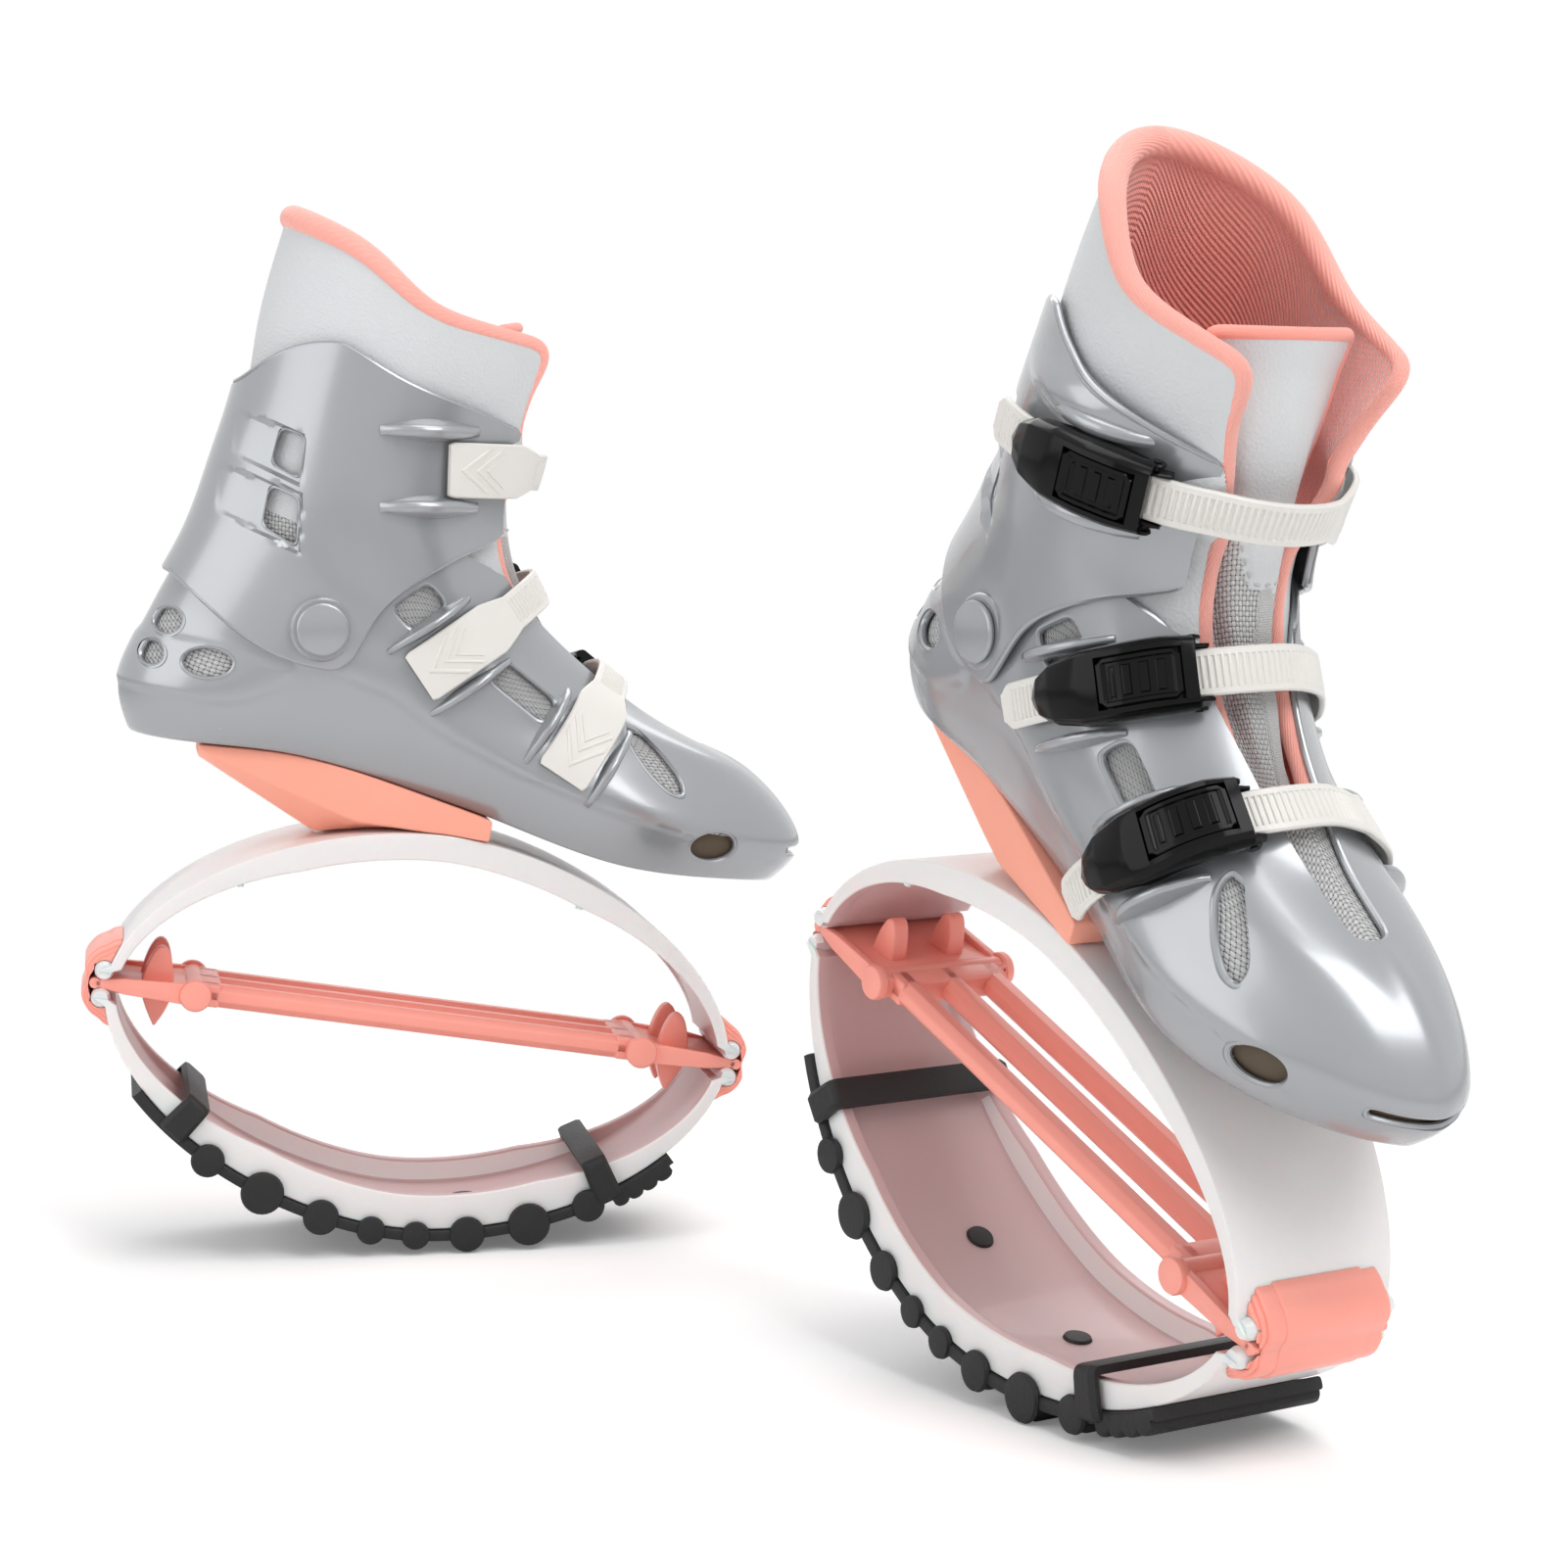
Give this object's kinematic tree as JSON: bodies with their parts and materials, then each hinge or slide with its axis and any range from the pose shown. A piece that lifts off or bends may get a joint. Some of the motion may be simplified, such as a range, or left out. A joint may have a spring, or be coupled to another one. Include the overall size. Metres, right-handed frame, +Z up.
{
  "type": "jumping shoes",
  "caption": "Pair of rebound jumping shoes: hard-shell boots with ratchet buckle straps, standing on two-bow spring soles with a rubber tension bar and tread.",
  "frame": {"origin": "centre of the pair's box, on the floor under the treads", "axes": "+Z up from the floor; +X and +Y along the floor as in the pictured pose, with the left toe near +X"},
  "size_m": [0.5166, 0.4736, 0.438],
  "materials": {
    "shell": "pearl silver-grey gloss",
    "leather": "pebbled white leatherette",
    "mesh": "light grey woven mesh",
    "board": "brown board",
    "strap": "off-white satin",
    "buckle": "glossy black",
    "steel": "brushed steel",
    "wedge": "matte salmon orange",
    "arch": "milky translucent",
    "bar": "satin salmon",
    "rubber": "matte black"
  },
  "bodies": {
    "soles": {"left_lower_arch": "arch", "left_tread": "rubber", "right_lower_arch": "arch", "right_tread": "rubber"},
    "left_spring": {"left_upper_arch": "arch", "left_tension_bar": "bar", "left_rear_clip": "bar", "left_front_clip": "bar"},
    "left_boot": {"left_boot_shell": "shell", "left_liner": "leather", "left_tongue": "mesh", "left_insole": "board", "left_mounting_plate": "steel", "left_sole_wedge": "wedge", "left_cuff_rivet_inner": "shell", "left_cuff_rivet_outer": "shell", "left_strap_instep": "strap", "left_strap_toe": "strap", "left_strap_screw_instep": "steel", "left_strap_screw_toe": "steel", "left_buckle_base_instep": "buckle", "left_buckle_base_toe": "buckle"},
    "left_cuff": {"left_cuff": "shell", "left_strap_cuff": "strap", "left_strap_screw_cuff": "steel", "left_buckle_base_cuff": "buckle"},
    "left_lever_cuff": {"left_buckle_lever_cuff": "buckle"},
    "left_latch_cuff": {"left_buckle_latch_cuff": "buckle"},
    "left_lever_instep": {"left_buckle_lever_instep": "buckle"},
    "left_latch_instep": {"left_buckle_latch_instep": "buckle"},
    "left_lever_toe": {"left_buckle_lever_toe": "buckle"},
    "left_latch_toe": {"left_buckle_latch_toe": "buckle"},
    "right_spring": {"right_upper_arch": "arch", "right_tension_bar": "bar", "right_rear_clip": "bar", "right_front_clip": "bar"},
    "right_boot": {"right_boot_shell": "shell", "right_liner": "leather", "right_tongue": "mesh", "right_insole": "board", "right_mounting_plate": "steel", "right_sole_wedge": "wedge", "right_cuff_rivet_inner": "shell", "right_cuff_rivet_outer": "shell", "right_strap_instep": "strap", "right_strap_toe": "strap", "right_strap_screw_instep": "steel", "right_strap_screw_toe": "steel", "right_buckle_base_instep": "buckle", "right_buckle_base_toe": "buckle"},
    "right_cuff": {"right_cuff": "shell", "right_strap_cuff": "strap", "right_strap_screw_cuff": "steel", "right_buckle_base_cuff": "buckle"},
    "right_lever_cuff": {"right_buckle_lever_cuff": "buckle"},
    "right_latch_cuff": {"right_buckle_latch_cuff": "buckle"},
    "right_lever_instep": {"right_buckle_lever_instep": "buckle"},
    "right_latch_instep": {"right_buckle_latch_instep": "buckle"},
    "right_lever_toe": {"right_buckle_lever_toe": "buckle"},
    "right_latch_toe": {"right_buckle_latch_toe": "buckle"}
  },
  "joints": [
    {"name": "left_bounce", "type": "slide", "parent": "soles", "child": "left_boot", "axis": [0.1561, 0.0303, 0.9873], "range_m": [-0.03, 0], "stiffness_N_per_m": 23000, "deforming": ["left_upper_arch", "left_lower_arch"]},
    {"name": "left_spring_travel", "type": "slide", "parent": "soles", "child": "left_spring", "axis": [0.1561, 0.0303, 0.9873], "range_m": [-0.016, 0]},
    {"name": "left_cuff_flex", "type": "hinge", "parent": "left_boot", "child": "left_cuff", "pos_m": [-0.15603, 0.15889, 0.26131], "axis": [-0.1908, 0.9816, 0], "range_deg": [0, 8], "deforming": ["left_liner", "left_tongue"]},
    {"name": "left_lever_cuff_turn", "type": "hinge", "parent": "left_cuff", "child": "left_lever_cuff", "pos_m": [-0.09518, 0.21504, 0.32742], "axis": [-0.1468, -0.0933, -0.9847], "range_deg": [0, 40]},
    {"name": "left_latch_cuff_turn", "type": "hinge", "parent": "left_lever_cuff", "child": "left_latch_cuff", "pos_m": [-0.12108, 0.22961, 0.3302], "axis": [0.1149, 0.0471, 0.9923], "range_deg": [0, 12], "stiffness_Nm_per_rad": 0.05, "springref_deg": -5.73},
    {"name": "left_lever_instep_turn", "type": "hinge", "parent": "left_boot", "child": "left_lever_instep", "pos_m": [-0.0753, 0.20119, 0.27314], "axis": [0.4437, 0.1023, -0.8903], "range_deg": [0, 40]},
    {"name": "left_latch_instep_turn", "type": "hinge", "parent": "left_lever_instep", "child": "left_latch_instep", "pos_m": [-0.09549, 0.22388, 0.26546], "axis": [-0.4338, -0.0806, 0.8974], "range_deg": [0, 12], "stiffness_Nm_per_rad": 0.05, "springref_deg": -5.73},
    {"name": "left_lever_toe_turn", "type": "hinge", "parent": "left_boot", "child": "left_lever_toe", "pos_m": [-0.04285, 0.20639, 0.23622], "axis": [0.7337, 0.2319, -0.6387], "range_deg": [0, 40]},
    {"name": "left_latch_toe_turn", "type": "hinge", "parent": "left_lever_toe", "child": "left_latch_toe", "pos_m": [-0.06005, 0.23153, 0.22626], "axis": [-0.6788, -0.2267, 0.6985], "range_deg": [0, 12], "stiffness_Nm_per_rad": 0.05, "springref_deg": -5.73},
    {"name": "right_bounce", "type": "slide", "parent": "soles", "child": "right_boot", "axis": [0.2201, -0.3338, 0.9166], "range_m": [-0.03, 0], "stiffness_N_per_m": 23000, "deforming": ["right_upper_arch", "right_lower_arch"]},
    {"name": "right_spring_travel", "type": "slide", "parent": "soles", "child": "right_spring", "axis": [0.2201, -0.3338, 0.9166], "range_m": [-0.016, 0]},
    {"name": "right_cuff_flex", "type": "hinge", "parent": "right_boot", "child": "right_cuff", "pos_m": [0.14674, -0.08774, 0.27228], "axis": [0.8348, 0.5505, 0], "range_deg": [0, 8], "deforming": ["right_liner", "right_tongue"]},
    {"name": "right_lever_cuff_turn", "type": "hinge", "parent": "right_cuff", "child": "right_lever_cuff", "pos_m": [0.15703, -0.18239, 0.31876], "axis": [0.1682, -0.3707, 0.9134], "range_deg": [0, 40]},
    {"name": "right_latch_cuff_turn", "type": "hinge", "parent": "right_lever_cuff", "child": "right_latch_cuff", "pos_m": [0.12928, -0.17525, 0.32709], "axis": [-0.1806, 0.3181, -0.9307], "range_deg": [0, 12], "stiffness_Nm_per_rad": 0.05, "springref_deg": -5.73},
    {"name": "right_lever_instep_turn", "type": "hinge", "parent": "right_boot", "child": "right_lever_instep", "pos_m": [0.17311, -0.17517, 0.26199], "axis": [-0.1074, 0.1915, 0.9756], "range_deg": [0, 40]},
    {"name": "right_latch_instep_turn", "type": "hinge", "parent": "right_lever_instep", "child": "right_latch_instep", "pos_m": [0.14199, -0.17543, 0.25841], "axis": [0.1153, -0.1682, -0.979], "range_deg": [0, 12], "stiffness_Nm_per_rad": 0.05, "springref_deg": -5.73},
    {"name": "right_lever_toe_turn", "type": "hinge", "parent": "right_boot", "child": "right_lever_toe", "pos_m": [0.18646, -0.19346, 0.21805], "axis": [-0.2469, 0.5336, 0.8089], "range_deg": [0, 40]},
    {"name": "right_latch_toe_turn", "type": "hinge", "parent": "right_lever_toe", "child": "right_latch_toe", "pos_m": [0.15532, -0.19701, 0.21142], "axis": [0.2049, -0.4797, -0.8532], "range_deg": [0, 12], "stiffness_Nm_per_rad": 0.05, "springref_deg": -5.73}
  ],
  "couplings": [
    {"joint": "left_spring_travel", "follows": "left_bounce", "ratio": 0.5},
    {"joint": "right_spring_travel", "follows": "right_bounce", "ratio": 0.5}
  ]
}
